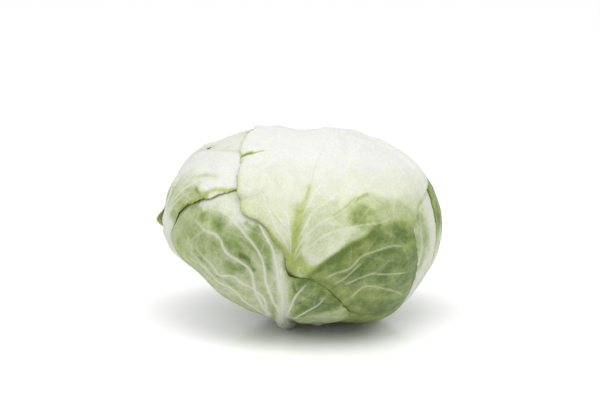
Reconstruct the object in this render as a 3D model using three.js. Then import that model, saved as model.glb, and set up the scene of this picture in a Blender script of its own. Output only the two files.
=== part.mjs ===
// A cabbage head: a flattened, slightly lopsided ball of packed inner leaves, eight loose wrapper
// leaves lying over each other round it, and the cut stalk that it stands on.
// Millimetres, +Z up, origin at the middle of the stalk's cut face, -Y towards the viewer.
import * as THREE from 'three';
import { mergeVertices } from 'three/addons/utils/BufferGeometryUtils.js';

// Driving dimensions of the whole head
const CENTRE_HEIGHT = 70;
const DEPTH_FRONT = 92;
const DEPTH_BACK = 95;
const MEAN_ELLIPSE = { halfWidth: 100, halfHeight: 70 };
// Radius of the head's outline seen from the front, one value every 22.5 degrees from +X up to +Z and on
const FRONT_PROFILE = [102.5, 97, 84, 77.5, 73, 79, 88.5, 99.5, 98, 76, 67, 66, 67, 73, 91, 97.3];
const HEART_INSET = 5.5;
const HEART_FLOOR = 9;
const HEART_SEGMENTS = { round: 44, upright: 26 };
// Broad shallow dents over the whole head, which fade out round the stalk
const DENTS_FADE = { from: -0.95, to: -0.7 };
const DENTS = [
  { wave: [3.1, 1.7, 2.3], phase: 0.4, mm: 0.7 },
  { wave: [-2.2, 4.1, 1.1], phase: 1.9, mm: 0.6 },
  { wave: [4.6, -1.3, -3.4], phase: 3.2, mm: 0.5 },
  { wave: [1.2, 5.2, 4.4], phase: 5.0, mm: 0.4 },
];

// A leaf's blade, and how leaves lie on each other
const BLADE = 1.4;
const GAP = 1;
const HEART_GAP = 1.4;
const PITCH = BLADE + GAP;
const DRAPE_MARGIN = 6;
const DRAPE_FALL = 16;
const COVER_MARGIN = 2;
const COVER_FALL = 9;
const MEAN_RADIUS = 82;

// Ribs and veins stand out of a leaf's outer face
const MIDRIB = { base: 5.2, tip: 0.6, fade: 2.2, spread: 0.11 };
const VEIN_HEIGHT = 1.1;
const VEIN_SPREAD = 0.07;
const VEIN_COLUMNS = [2 / 7, 4 / 7, 6 / 7];
const COLUMN_POWER = 1.3;
const ROWS = 18;
const COLUMNS = 16;

// A leaf's side margins stand up in waves where nothing covers them
const RUFFLE = { mm: 1.4, waves: 22, from: 0.75 };

// Waves cut into a leaf's end and sides, as shares of its length and half width
const TIP_WAVE = 0.03;
const SIDE_WAVE = 0.035;
const OUTLINE_STEPS = 32;

// A crease falls steeply on its lower side
const CREASE_DROP = 4;

// The cut stalk, and the edges of inner leaves that show at the crown
const STALK = { foot: 12.5, radius: 14, neck: 13, bevel: 1.2, height: HEART_FLOOR - 0.4, segments: 28 };
const HEART_FOLDS = [
  { facing: [205, 14], mm: 1.5 },
  { facing: [75, 4], mm: 1.3 },
  { facing: [-60, -8], mm: 1.3 },
];
const FOLD_WIDTH = 5;
const FOLD_WANDER = 5;
const FOLD_CROWN = { from: 0.35, to: 0.7 };
const FOLD_MARGIN = { from: 8, to: 20 };

const COLOURS = {
  heart: '#e3e8cf', pale: '#dde4c4', light: '#c7d3a0', green: '#a3b878', deep: '#7f9c4f', stalk: '#e6e6cf',
};

// Wrapper leaves, from the innermost to the outermost. Each has three lines from its foot at the stalk to
// its far end, as [azimuth, elevation] in degrees seen from the head's centre: azimuth 0 faces the viewer
// and grows to the right.
const LEAVES = [
  {
    name: 'back_leaf', colour: COLOURS.light, seed: 1.1,
    left: [[146, -76], [138, -50], [130, -20], [126, 10], [130, 36], [142, 54]],
    rib: [[172, -76], [172, -50], [172, -20], [172, 10], [173, 38], [176, 66]],
    right: [[200, -76], [208, -50], [214, -20], [218, 10], [216, 34], [206, 54]],
    lifts: [],
  },
  {
    name: 'right_leaf', colour: COLOURS.pale, seed: 2.3,
    left: [[35, -76], [28, -50], [22, -25], [22, 0], [28, 20], [40, 38], [62, 52]],
    rib: [[60, -76], [60, -50], [63, -25], [69, -5], [75, 10], [80, 25], [90, 44]],
    right: [[90, -76], [100, -50], [108, -25], [112, -5], [116, 12], [120, 26], [124, 38]],
    lifts: [],
  },
  {
    name: 'lower_left_leaf', colour: COLOURS.light, seed: 3.7,
    left: [[-84, -76], [-90, -55], [-94, -35], [-96, -18], [-92, 2]],
    rib: [[-55, -76], [-57, -55], [-60, -35], [-64, -18], [-67, 2]],
    right: [[-28, -76], [-26, -55], [-26, -38], [-32, -20], [-42, -4]],
    lifts: [],
  },
  {
    name: 'front_left_leaf', colour: COLOURS.green, seed: 5.9, rows: 28, columns: 16,
    left: [[-50, -76], [-55, -60], [-48, -45], [-40, -33], [-45, -25], [-54, -18], [-63, -12], [-69, -4],
      [-69, 7], [-64, 18], [-54, 32]],
    rib: [[-20, -76], [-19, -58], [-13, -38], [-8, -20], [-8, -6], [-12, 8], [-19, 22], [-28, 36]],
    right: [[8, -76], [17, -62], [25, -48], [29, -38], [26, -30], [19, -22], [12, -15], [4, -11], [-3, -10.4],
      [-6.8, -8], [-8, -3], [-5, 2], [0, 6], [3, 14], [-2, 27], [-12, 40]],
    lifts: [{ u: 0.42, v: -1, du: 0.16, dv: 0.35, mm: 2 }],
  },
  {
    name: 'back_right_leaf', colour: COLOURS.deep, seed: 6.4,
    left: [[104, -76], [97, -50], [86, -25], [77, -5], [76, 8], [79, 20], [88, 34], [102, 46]],
    rib: [[128, -76], [126, -50], [122, -25], [120, 0], [118, 22], [119, 42], [126, 58]],
    right: [[155, -76], [160, -50], [162, -25], [162, 0], [160, 20], [156, 38], [152, 52]],
    lifts: [{ u: 0.58, v: -1, du: 0.2, dv: 0.3, mm: 2.5 }],
  },
  {
    name: 'left_leaf', colour: COLOURS.pale, seed: 7.8, rows: 26, columns: 20,
    left: [[-118, -76], [-126, -50], [-130, -25], [-130, 0], [-124, 20], [-108, 35], [-88, 41], [-68, 46],
      [-50, 50], [-34, 51]],
    rib: [[-90, -76], [-85, -55], [-81, -30], [-78, -10], [-76, 6], [-70, 21], [-58, 33], [-40, 39],
      [-24, 41]],
    right: [[-62, -76], [-62, -55], [-64, -30], [-66, -12], [-67, -4], [-65, 5], [-59, 14], [-51, 19],
      [-45, 22], [-34, 27], [-20, 31]],
    lifts: [{ u: 0.72, v: 1, du: 0.1, dv: 0.3, mm: 3.5 }],
  },
  {
    name: 'back_left_leaf', colour: COLOURS.light, seed: 8.5, rows: 22, columns: 18,
    left: [[-168, -76], [-172, -50], [-176, -20], [-176, 8], [-174, 30], [-168, 48], [-154, 62]],
    rib: [[-140, -76], [-140, -50], [-138, -20], [-136, 8], [-133, 32], [-126, 52], [-112, 68]],
    right: [[-113, -76], [-106, -50], [-98, -24], [-92, 2], [-93, 10], [-98, 25], [-99, 42], [-90, 58]],
    lifts: [{ u: 0.54, v: 1, du: 0.06, dv: 0.16, mm: 5 }],
  },
  {
    name: 'front_right_leaf', colour: COLOURS.pale, seed: 9.6, rows: 34, columns: 18, ribBase: 2.5,
    left: [[4, -76], [1, -55], [-2, -35], [-3, -18], [-4, -8], [-5.2, -3], [-7, 1.5], [-9, 4], [-12, 7],
      [-16, 13], [-20, 15], [-26, 17], [-29, 22], [-32, 28], [-37, 35], [-41, 43], [-51, 50], [-66, 58],
      [-90, 66], [-130, 70], [-160, 66]],
    rib: [[22, -76], [15, -52], [7, -30], [2, -15], [-1, -4], [-1, 8], [1, 20], [5, 33], [12, 47], [28, 61],
      [75, 74], [150, 70]],
    right: [[52, -76], [62, -60], [66, -45], [66, -34], [63, -26], [60, -18], [57, -8], [54, -1], [53, 4],
      [55, 10], [62, 15], [72, 18], [84, 23], [98, 31], [112, 40], [128, 51]],
    lifts: [{ u: 0.6, v: -1, du: 0.1, dv: 0.2, mm: 1.2 }],
    tuck: { under: 'front_left_leaf', below: -9.5, above: -3 },
    creases: [{ line: [[2, -10], [12, -4], [20, 2], [30, 6], [37, 12], [48, 15]], mm: 1.6, width: 12 }],
  },
];

const radians = THREE.MathUtils.degToRad;
const smooth = (from, to, x) => THREE.MathUtils.smoothstep(x, from, to);

// The unit vector at an azimuth and elevation in degrees
function direction([azimuth, elevation]) {
  const [a, e] = [radians(azimuth), radians(elevation)];
  return new THREE.Vector3(Math.sin(a) * Math.cos(e), -Math.cos(a) * Math.cos(e), Math.sin(e));
}

// Catmull-Rom through the front profile's values, at an angle in radians
function frontRadius(angle) {
  const n = FRONT_PROFILE.length;
  const t = ((angle / (2 * Math.PI)) * n + n) % n;
  const i = Math.floor(t);
  const f = t - i;
  const [p0, p1, p2, p3] = [-1, 0, 1, 2].map((k) => FRONT_PROFILE[(i + k + n) % n]);
  return 0.5 * (2 * p1 + (p2 - p0) * f + (2 * p0 - 5 * p1 + 4 * p2 - p3) * f ** 2
    + (3 * p1 - p0 - 3 * p2 + p3) * f ** 3);
}

// Distance from the centre to the head's outer surface: an ellipse between the front outline and the depth
function headRadius(d) {
  const angle = Math.atan2(d.z, d.x);
  const across = Math.hypot(d.x, d.z);
  const { halfWidth, halfHeight } = MEAN_ELLIPSE;
  const mean = 1 / Math.hypot(Math.cos(angle) / halfWidth, Math.sin(angle) / halfHeight);
  const outline = mean + (frontRadius(angle) - mean) * across ** 2;
  const depth = d.y < 0 ? DEPTH_FRONT : DEPTH_BACK;
  const dents = DENTS.reduce((sum, { wave, phase, mm }) => (
    sum + mm * Math.sin(wave[0] * d.x + wave[1] * d.y + wave[2] * d.z + phase)), 0);
  return 1 / Math.hypot(across / outline, d.y / depth) + dents * smooth(DENTS_FADE.from, DENTS_FADE.to, d.z);
}

// The inner leaves' edges at the crown: each side that faces a fold's direction stands a little higher
function foldHeight(d) {
  const crown = smooth(FOLD_CROWN.from, FOLD_CROWN.to, d.z);
  return HEART_FOLDS.reduce((sum, { facing, mm }) => {
    const wander = FOLD_WANDER * Math.sin(4 * d.x + 3 * d.y + facing[0]);
    const side = MEAN_RADIUS * Math.asin(d.dot(direction(facing))) + wander;
    return sum + mm * crown * smooth(-FOLD_WIDTH, FOLD_WIDTH, side);
  }, 0);
}

const heartRadius = (d) => headRadius(d) - HEART_INSET;

function place(d, radius) {
  return new THREE.Vector3(d.x * radius, d.y * radius, CENTRE_HEIGHT + d.z * radius);
}

// A leaf's shape on the unit sphere: across goes from -1 at the left edge to 1 at the right one
function leafDirections(leaf) {
  const [left, rib, right] = [leaf.left, leaf.rib, leaf.right].map((line) => (
    new THREE.CatmullRomCurve3(line.map(direction), false, 'catmullrom', 0.5)));
  const wobble = (x) => 0.6 * Math.sin(5 * x + leaf.seed) + 0.4 * Math.sin(12 * x + 2.3 * leaf.seed);
  return (along, across) => {
    const edge = smooth(0.5, 1, Math.abs(across));
    const u = along * (1 - TIP_WAVE * (1 + wobble(across)) * smooth(0.6, 1, along));
    const v = across * (1 + SIDE_WAVE * wobble(along + (across > 0 ? 3 : 0)) * edge * smooth(0, 0.2, along));
    const edgeLine = v < 0 ? left : right;
    return rib.getPointAt(u).lerp(edgeLine.getPointAt(u), Math.abs(v)).normalize();
  };
}

// How far a direction lies outside a leaf's outline, in mm on the head; negative is inside.
// Both are laid flat round the leaf's middle at their true distance from it.
function outlineDistance(at) {
  const steps = Array.from({ length: OUTLINE_STEPS }, (_, i) => i / OUTLINE_STEPS);
  const loop = [
    ...steps.map((t) => at(t, -1)),
    ...steps.map((t) => at(1, 2 * t - 1)),
    ...steps.map((t) => at(1 - t, 1)),
    ...steps.map((t) => at(0, 1 - 2 * t)),
  ];
  const middle = at(0.5, 0);
  const east = new THREE.Vector3(0, 0, 1).cross(middle).normalize();
  const north = middle.clone().cross(east);
  const flat = (d) => {
    const angle = Math.acos(THREE.MathUtils.clamp(d.dot(middle), -1, 1));
    const scale = (MEAN_RADIUS * angle) / Math.max(Math.sin(angle), 1e-6);
    return [d.dot(east) * scale, d.dot(north) * scale];
  };
  const corners = loop.map(flat);
  return (d) => {
    const [x, y] = flat(d);
    let nearest = Infinity;
    let inside = false;
    corners.forEach(([ax, ay], i) => {
      const [bx, by] = corners[(i + 1) % corners.length];
      const squared = Math.max((bx - ax) ** 2 + (by - ay) ** 2, 1e-9);
      const t = THREE.MathUtils.clamp(((x - ax) * (bx - ax) + (y - ay) * (by - ay)) / squared, 0, 1);
      nearest = Math.min(nearest, Math.hypot(x - ax - t * (bx - ax), y - ay - t * (by - ay)));
      if (ay > y !== by > y && x < ax + ((y - ay) / (by - ay)) * (bx - ax)) inside = !inside;
    });
    return inside ? -nearest : nearest;
  };
}

// A closed mesh from an outer and an inner grid of points, both split into triangles alike
function shell(outer, inner, rows, columns) {
  const width = columns + 1;
  const size = (rows + 1) * width;
  const faces = [];
  for (let r = 0; r < rows; r += 1) {
    for (let c = 0; c < columns; c += 1) {
      const a = r * width + c;
      const [b, d, e] = [a + 1, a + width, a + width + 1];
      faces.push(a, b, e, a, e, d, size + a, size + e, size + b, size + a, size + d, size + e);
    }
  }
  const rim = [];
  for (let c = 0; c < columns; c += 1) rim.push(c);
  for (let r = 0; r < rows; r += 1) rim.push(r * width + columns);
  for (let c = columns; c > 0; c -= 1) rim.push(rows * width + c);
  for (let r = rows; r > 0; r -= 1) rim.push(r * width);
  rim.forEach((a, i) => {
    const b = rim[(i + 1) % rim.length];
    faces.push(a, size + a, b, b, size + a, size + b);
  });
  const geometry = new THREE.BufferGeometry().setFromPoints([...outer, ...inner]);
  geometry.setIndex(faces);
  return geometry;
}

// Ribs and fan veins, in mm above the blade, before what covers them is taken into account
function ribHeight(along, across, base) {
  const midrib = MIDRIB.tip + (base - MIDRIB.tip) * (1 - along) ** MIDRIB.fade;
  const column = Math.abs(across) ** (1 / COLUMN_POWER);
  const veins = VEIN_COLUMNS.map((k) => Math.exp(-(((column - k) / VEIN_SPREAD) ** 2)));
  const fan = VEIN_HEIGHT * Math.max(...veins) * smooth(0, 0.25, along) * (1 - 0.6 * along);
  return Math.max(midrib * Math.exp(-((column / MIDRIB.spread) ** 2)), fan);
}

// A crease's upper left side stands up along its line and dies out away from it
function creaseHeight({ line, mm, width }, d) {
  const points = line.map(direction);
  const sides = points.slice(1).map((end, i) => {
    const start = points[i];
    const normal = end.clone().cross(start).normalize();
    const along = end.clone().sub(start);
    const t = THREE.MathUtils.clamp(d.clone().sub(start).dot(along) / along.lengthSq(), 0, 1);
    const offset = d.clone().sub(start.clone().addScaledVector(along, t));
    return { far: MEAN_RADIUS * offset.length(), above: normal.dot(d) < 0 };
  });
  const near = sides.reduce((best, side) => (side.far < best.far ? side : best));
  const fall = near.above ? width : CREASE_DROP;
  return mm * Math.exp(-((near.far / fall) ** 2));
}

// How far the blade stands off what it lies on: waved margins, the leaf's own lifts and its creases
function standOff(leaf, along, across, d) {
  const waves = 0.5 + 0.5 * Math.sin(RUFFLE.waves * along + 3 * leaf.seed + across);
  const ruffle = RUFFLE.mm * waves * smooth(RUFFLE.from, 1, Math.abs(across)) * smooth(0.1, 0.3, along);
  const lift = leaf.lifts.reduce((sum, bump) => sum + bump.mm * Math.exp(
    -(((along - bump.u) / bump.du) ** 2) - ((across - bump.v) / bump.dv) ** 2), 0);
  const fold = (leaf.creases ?? []).reduce((sum, crease) => sum + creaseHeight(crease, d), 0);
  return ruffle + lift + fold;
}

// How far leaf i lies under leaf k at a direction, from 0 to 1: later leaves lie on earlier ones, but a
// tucked leaf passes under the one that it names lower down
function liesUnder(i, k, d) {
  const [lower, upper] = [LEAVES[Math.min(i, k)], LEAVES[Math.max(i, k)]];
  const { under, below, above } = upper.tuck ?? {};
  if (under !== lower.name) return i < k ? 1 : 0;
  const tucked = 1 - smooth(Math.sin(radians(below)), Math.sin(radians(above)), d.z);
  return i < k ? 1 - tucked : tucked;
}

function leafMesh(leaf, index) {
  const { rows = ROWS, columns = COLUMNS, ribBase = MIDRIB.base } = leaf;
  const { at } = shapes[index];
  const outer = [];
  const inner = [];
  for (let r = 0; r <= rows; r += 1) {
    for (let c = 0; c <= columns; c += 1) {
      const side = (2 * c) / columns - 1;
      const across = Math.sign(side) * Math.abs(side) ** COLUMN_POWER;
      const along = r / rows;
      const d = at(along, across);
      let stack = 0;
      let free = 1;
      shapes.forEach((other, k) => {
        if (k === index) return;
        const distance = other.distance(d);
        const drape = 1 - smooth(DRAPE_MARGIN, DRAPE_MARGIN + DRAPE_FALL, distance);
        const cover = 1 - smooth(COVER_MARGIN, COVER_MARGIN + COVER_FALL, distance);
        stack += PITCH * drape * liesUnder(k, index, d);
        free = Math.min(free, 1 - cover * liesUnder(index, k, d));
      });
      const under = heartRadius(d) + HEART_GAP + stack + standOff(leaf, along, across, d) * free;
      inner.push(place(d, under));
      const top = place(d, under + BLADE + ribHeight(along, across, ribBase) * free);
      top.z = Math.max(top.z, 0);
      outer.push(top);
    }
  }
  return shell(outer, inner, rows, columns);
}

// The packed inner head: a sphere pushed out to the heart's surface, flat where the stalk joins
function heartGeometry() {
  const ball = new THREE.SphereGeometry(1, HEART_SEGMENTS.round, HEART_SEGMENTS.upright).rotateX(Math.PI / 2);
  ball.deleteAttribute('normal');
  ball.deleteAttribute('uv');
  const geometry = mergeVertices(ball, 1e-5);
  const points = geometry.attributes.position;
  for (let i = 0; i < points.count; i += 1) {
    const d = new THREE.Vector3().fromBufferAttribute(points, i).normalize();
    const shown = shapes.reduce((least, leaf) => (
      Math.min(least, smooth(FOLD_MARGIN.from, FOLD_MARGIN.to, leaf.distance(d)))), 1);
    const p = place(d, heartRadius(d) + foldHeight(d) * shown);
    points.setXYZ(i, p.x, p.y, Math.max(p.z, HEART_FLOOR));
  }
  return geometry;
}

// The cut stalk: a short drum, bevelled round its cut face
function stalkGeometry() {
  const { foot, radius, neck, bevel, height, segments } = STALK;
  const profile = [[0, 0], [foot, 0], [radius, bevel], [neck, height], [0, height]];
  const turned = new THREE.LatheGeometry(profile.map(([x, y]) => new THREE.Vector2(x, y)), segments);
  return turned.rotateX(Math.PI / 2);
}

function mesh(name, geometry, color) {
  const material = new THREE.MeshStandardMaterial({ color, roughness: 0.5, metalness: 0 });
  const piece = new THREE.Mesh(geometry, material);
  piece.name = name;
  return piece;
}

const shapes = LEAVES.map((leaf) => {
  const at = leafDirections(leaf);
  return { at, distance: outlineDistance(at) };
});

const cabbage = new THREE.Group();
cabbage.add(mesh('stalk', stalkGeometry(), COLOURS.stalk));
cabbage.add(mesh('inner_head', heartGeometry(), COLOURS.heart));
LEAVES.forEach((leaf, index) => cabbage.add(mesh(leaf.name, leafMesh(leaf, index), leaf.colour)));

export default cabbage;
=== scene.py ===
# %% [markdown]
# # A head of white cabbage
# A flat-headed white cabbage stands on its cut stalk: a packed heart, eight loose wrapper leaves that lie
# over each other, and the stalk. All leaves are bent round one ball, so each leaf here is drawn on the
# directions of that ball and then pushed out to its own layer. That keeps neighbours apart by rule, where
# sculpting each leaf by hand would need every crossing to be checked by eye.
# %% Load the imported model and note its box
import math
import bpy
import numpy as np
from mathutils import Matrix, Vector


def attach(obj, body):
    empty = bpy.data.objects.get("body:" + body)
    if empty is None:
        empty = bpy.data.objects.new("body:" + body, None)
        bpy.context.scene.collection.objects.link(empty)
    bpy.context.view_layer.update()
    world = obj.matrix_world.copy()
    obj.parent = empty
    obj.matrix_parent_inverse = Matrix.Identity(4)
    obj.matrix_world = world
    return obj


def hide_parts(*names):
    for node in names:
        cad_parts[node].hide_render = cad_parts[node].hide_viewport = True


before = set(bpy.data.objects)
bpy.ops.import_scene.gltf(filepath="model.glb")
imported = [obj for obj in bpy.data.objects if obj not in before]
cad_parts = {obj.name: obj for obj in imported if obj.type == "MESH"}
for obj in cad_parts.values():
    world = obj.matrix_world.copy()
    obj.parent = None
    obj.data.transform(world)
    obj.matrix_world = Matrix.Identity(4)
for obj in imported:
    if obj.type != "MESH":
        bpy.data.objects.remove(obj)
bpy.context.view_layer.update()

# %% [markdown]
# ## Camera
# The photograph looks slightly down on the head from a little over a metre away, with a long lens, so that
# the sides hardly converge. The camera aims above the head's middle, because the head sits low in the frame.
# %% Camera
CAMERA_ELEVATION = math.radians(12)
CAMERA_DISTANCE = 1.1
METRES_PER_PIXEL = 0.000717
HEAD_PIXEL_ROW = 26
look = Vector((0, math.cos(CAMERA_ELEVATION), -math.sin(CAMERA_ELEVATION)))
upward = Vector((0, math.sin(CAMERA_ELEVATION), math.cos(CAMERA_ELEVATION)))
target = Vector((0, 0, 0.07)) + upward * HEAD_PIXEL_ROW * METRES_PER_PIXEL
camera_data = bpy.data.cameras.new("camera")
camera_data.sensor_width = 36
camera_data.lens = 36 * CAMERA_DISTANCE / (600 * METRES_PER_PIXEL)
camera_data.clip_end = 60
camera = bpy.data.objects.new("camera", camera_data)
camera.location = target - look * CAMERA_DISTANCE
camera.rotation_euler = look.to_track_quat("-Z", "Y").to_euler()
bpy.context.collection.objects.link(camera)
bpy.context.scene.camera = camera
print("lens", round(camera_data.lens, 1), "mm")

# %% [markdown]
# ## One function for nodes, one for colour
# A hex colour is what a paint chart or a picture shows, in sRGB. Blender's nodes reckon in linear light, so
# every hex value goes through one function first.
# %% Helpers for materials


def linear(hex_colour):
    """sRGB to linear: c / 12.92 below 0.04045, else ((c + 0.055) / 1.055) to the power 2.4."""
    channels = [int(hex_colour[i:i + 2], 16) / 255 for i in (1, 3, 5)]
    lit = [c / 12.92 if c <= 0.04045 else ((c + 0.055) / 1.055) ** 2.4 for c in channels]
    return (*lit, 1.0)


def add(tree, kind, settings, inputs):
    """Adds one node: settings are its own properties, inputs are socket values or outputs to link."""
    made = tree.nodes.new(kind)
    for key, value in settings.items():
        setattr(made, key, value)
    for key, value in inputs.items():
        if isinstance(value, bpy.types.NodeSocket):
            tree.links.new(value, made.inputs[key])
        else:
            made.inputs[key].default_value = value
    return made


def new_material(name):
    """An empty node material with only its output node."""
    material = bpy.data.materials.new(name)
    material.use_nodes = True
    material.node_tree.nodes.clear()
    output = material.node_tree.nodes.new("ShaderNodeOutputMaterial")
    return material, material.node_tree, output


# %% [markdown]
# ## Floor and light
# A seamless white table: glossy white acrylic, which gives the faint mirror image and the soft dark lens
# under the head. It runs far past the view, so no horizon shows.
# %% Floor
FLOOR_HALF = 30
floor_mesh = bpy.data.meshes.new("table")
floor_mesh.from_pydata([(x, y, 0) for x, y in ((-1, -1), (1, -1), (1, 1), (-1, 1))], [], [(0, 1, 2, 3)])
floor_mesh.transform(Matrix.Diagonal((FLOOR_HALF, FLOOR_HALF, 1, 1)))
floor = bpy.data.objects.new("table", floor_mesh)
bpy.context.collection.objects.link(floor)
acrylic, tree, output = new_material("white_acrylic")
shader = add(tree, "ShaderNodeBsdfPrincipled", {}, {
    "Base Color": linear("#fafafc"), "Roughness": 0.14, "IOR": 1.33})
tree.links.new(shader.outputs[0], output.inputs["Surface"])
floor_mesh.materials.append(acrylic)

# %% [markdown]
# ## Room light and lamps
# A high-key product picture is lit from all round. The room glows, a little brighter behind the head than in
# front. Two very wide soft lamps stand at the sides and reach under the head, so that the shadow stays
# narrow, and a smaller lamp hangs above.
# %% Room light and lamps
LAMP_COLOUR = (1.0, 0.995, 0.98)
SKY_FRONT = (0.54, 0.54, 0.55, 1)
SKY_BACK = (0.7, 0.7, 0.72, 1)
SKY_TOP = (0.52, 0.52, 0.52, 1)
world = bpy.data.worlds.new("white_room")
bpy.context.scene.world = world
world.use_nodes = True
sky = world.node_tree
sky.nodes.clear()
where = add(sky, "ShaderNodeTexCoord", {}, {})
split = add(sky, "ShaderNodeSeparateXYZ", {}, {0: where.outputs["Generated"]})
back = add(sky, "ShaderNodeMapRange", {"interpolation_type": "SMOOTHSTEP"}, {
    "Value": split.outputs["Y"], "From Min": -0.6, "From Max": 0.7})
room = add(sky, "ShaderNodeMix", {"data_type": "RGBA"}, {
    0: back.outputs[0], 6: SKY_FRONT, 7: SKY_BACK})
height = add(sky, "ShaderNodeMapRange", {"interpolation_type": "SMOOTHSTEP"}, {
    "Value": split.outputs["Z"], "From Min": 0.35, "From Max": 0.95})
dome = add(sky, "ShaderNodeMix", {"data_type": "RGBA"}, {
    0: height.outputs[0], 6: room.outputs[2], 7: SKY_TOP})
glow = add(sky, "ShaderNodeBackground", {}, {0: dome.outputs[2], 1: 1.0})
add(sky, "ShaderNodeOutputWorld", {}, {0: glow.outputs[0]})
LAMPS = [("left_lamp", (0.62, 0.42, -1.0), 1.16, 62), ("right_lamp", (-0.62, 0.42, -1.0), 1.2, 62),
         ("top_lamp", (0.0, 0.3, -1.0), 0.78, 34)]
for lamp_name, travel, strength, spread in LAMPS:
    lamp_data = bpy.data.lights.new(lamp_name, "SUN")
    lamp_data.energy = strength
    lamp_data.angle = math.radians(spread)
    lamp_data.color = LAMP_COLOUR
    lamp = bpy.data.objects.new(lamp_name, lamp_data)
    lamp.rotation_euler = Vector(travel).to_track_quat("-Z", "Y").to_euler()
    bpy.context.collection.objects.link(lamp)
bpy.context.scene.view_settings.view_transform = "Standard"
print(len(LAMPS), "lamps")

# %% [markdown]
# ## The ball that every leaf is bent round
# Directions from the head's centre are unit vectors. An azimuth of 0 faces the viewer and grows to the
# right. The radius follows the outline seen from the front and an ellipse in depth, in millimetres.
# %% Smooth steps, directions and the head's radius
CENTRE_HEIGHT = 70.0
DEPTH_FRONT = 92.0
DEPTH_BACK = 95.0
HALF_WIDTH = 100.0
HALF_HEIGHT = 70.0
PATTERN_RADIUS = 85
CHART_RADIUS = 82
PROFILE = np.array([102.5, 97, 84, 77.5, 73, 79, 88.5, 99.5, 98, 76, 67, 66, 67, 73, 91, 97.3])
HEART_INSET = 5.5
HEART_FLOOR = 9.0
DENTS = [([3.1, 1.7, 2.3], 0.4, 0.7), ([-2.2, 4.1, 1.1], 1.9, 0.6), ([4.6, -1.3, -3.4], 3.2, 0.5),
         ([1.2, 5.2, 4.4], 5.0, 0.4)]


def smooth(low, high, x):
    """t * t * (3 - 2 t), where t runs from 0 at low to 1 at high."""
    t = np.clip((x - low) / (high - low), 0, 1)
    return t * t * (3 - 2 * t)


def unit(vectors):
    """Each vector divided by its length."""
    return vectors / np.linalg.norm(vectors, axis=-1, keepdims=True)


def direction(angles):
    """Unit vector (sin a cos e, -cos a cos e, sin e) of azimuth a and elevation e in degrees."""
    a, e = np.moveaxis(np.radians(np.asarray(angles, float)), -1, 0)
    return np.stack([np.sin(a) * np.cos(e), -np.cos(a) * np.cos(e), np.sin(e)], -1)


def front_radius(angle):
    """Catmull-Rom through PROFILE, one value every 22.5 degrees."""
    t = (angle / (2 * np.pi) * 16) % 16
    i = np.floor(t).astype(int)
    f = t - i
    p0, p1, p2, p3 = (PROFILE[(i + k) % 16] for k in (-1, 0, 1, 2))
    return 0.5 * (2 * p1 + (p2 - p0) * f + (2 * p0 - 5 * p1 + 4 * p2 - p3) * f ** 2
                  + (3 * p1 - p0 - 3 * p2 + p3) * f ** 3)


def head_radius(d):
    """1 / hypot(across / outline, y / depth), plus shallow dents that fade out round the stalk."""
    angle = np.arctan2(d[..., 2], d[..., 0])
    across = np.hypot(d[..., 0], d[..., 2])
    mean = 1 / np.hypot(np.cos(angle) / HALF_WIDTH, np.sin(angle) / HALF_HEIGHT)
    outline = mean + (front_radius(angle) - mean) * across ** 2
    depth = np.where(d[..., 1] < 0, DEPTH_FRONT, DEPTH_BACK)
    dents = sum(mm * np.sin(d @ np.array(wave) + phase) for wave, phase, mm in DENTS)
    return 1 / np.hypot(across / outline, d[..., 1] / depth) + dents * smooth(-0.95, -0.7, d[..., 2])


print("radius facing the viewer", np.round(head_radius(direction([0, 0])), 1), "mm")

# %% [markdown]
# ## Random but repeatable surface noise
# Leaf tissue is uneven at every size. Two kinds of pattern cover it: soft waves for swelling and mottling,
# and cells, because the finest veins enclose little fields like the tiles of a net. Both are worked out
# from the direction alone, so neighbouring leaves can share them, and both use fixed seeds.
# %% Wave noise and cell noise


def waves(d, size, seed, count=14):
    """Mean of count sines with random headings; size is their wavelength in mm on a ball of 85 mm."""
    rng = np.random.default_rng(seed)
    headings = unit(rng.normal(size=(count, 3))) * rng.uniform(0.7, 1.5, (count, 1))
    headings = headings * 2 * np.pi * PATTERN_RADIUS / size
    phases = rng.uniform(0, 2 * np.pi, count)
    total = np.zeros(d.shape[:-1])
    for heading, phase in zip(headings, phases):
        total += np.sin(d @ heading + phase)
    return total / math.sqrt(count / 2)


def scramble(cells, seed):
    """A hash of whole-number cells to a value from 0 to 1."""
    mixed = (cells[..., 0] * 73856093) ^ (cells[..., 1] * 19349663) ^ (cells[..., 2] * 83492791)
    mixed = mixed ^ (seed * 2654435)
    mixed = (mixed ^ (mixed >> 13)) * 1274126177 & 0x7FFFFFFF
    mixed = (mixed ^ (mixed >> 11)) * 668265263 & 0x7FFFFFFF
    return mixed / 0x7FFFFFFF


def cell_walls(d, size, seed):
    """Distance in mm from the border between the two nearest random points, one in each cube of size mm."""
    place = d * (PATTERN_RADIUS / size) + waves(d, size * 5, seed)[..., None] * 0.25
    base = np.floor(place).astype(np.int64)
    first = np.full(d.shape[:-1], 9.0)
    second = first.copy()
    for step in np.ndindex(3, 3, 3):
        cell = base + np.array(step) - 1
        point = cell + np.stack([scramble(cell, seed + k) for k in range(3)], -1)
        away = np.linalg.norm(place - point, axis=-1)
        second = np.minimum(second, np.maximum(first, away))
        first = np.minimum(first, away)
    return (second - first) * size * 0.5


print("noise ready, sample", np.round(waves(direction([[0, 0], [40, 20]]), 20, 1), 2))

# %% [markdown]
# ## Leaf outlines
# Each wrapper leaf has three lines from its foot at the stalk to its far end: left margin, midrib and right
# margin, as azimuth and elevation. The same lines make the plain solids of this part, so the fine leaves
# stay where those are. Between the lines a leaf's points are blended straight, then put back on the ball.
# %% Curves through the outline points


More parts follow.
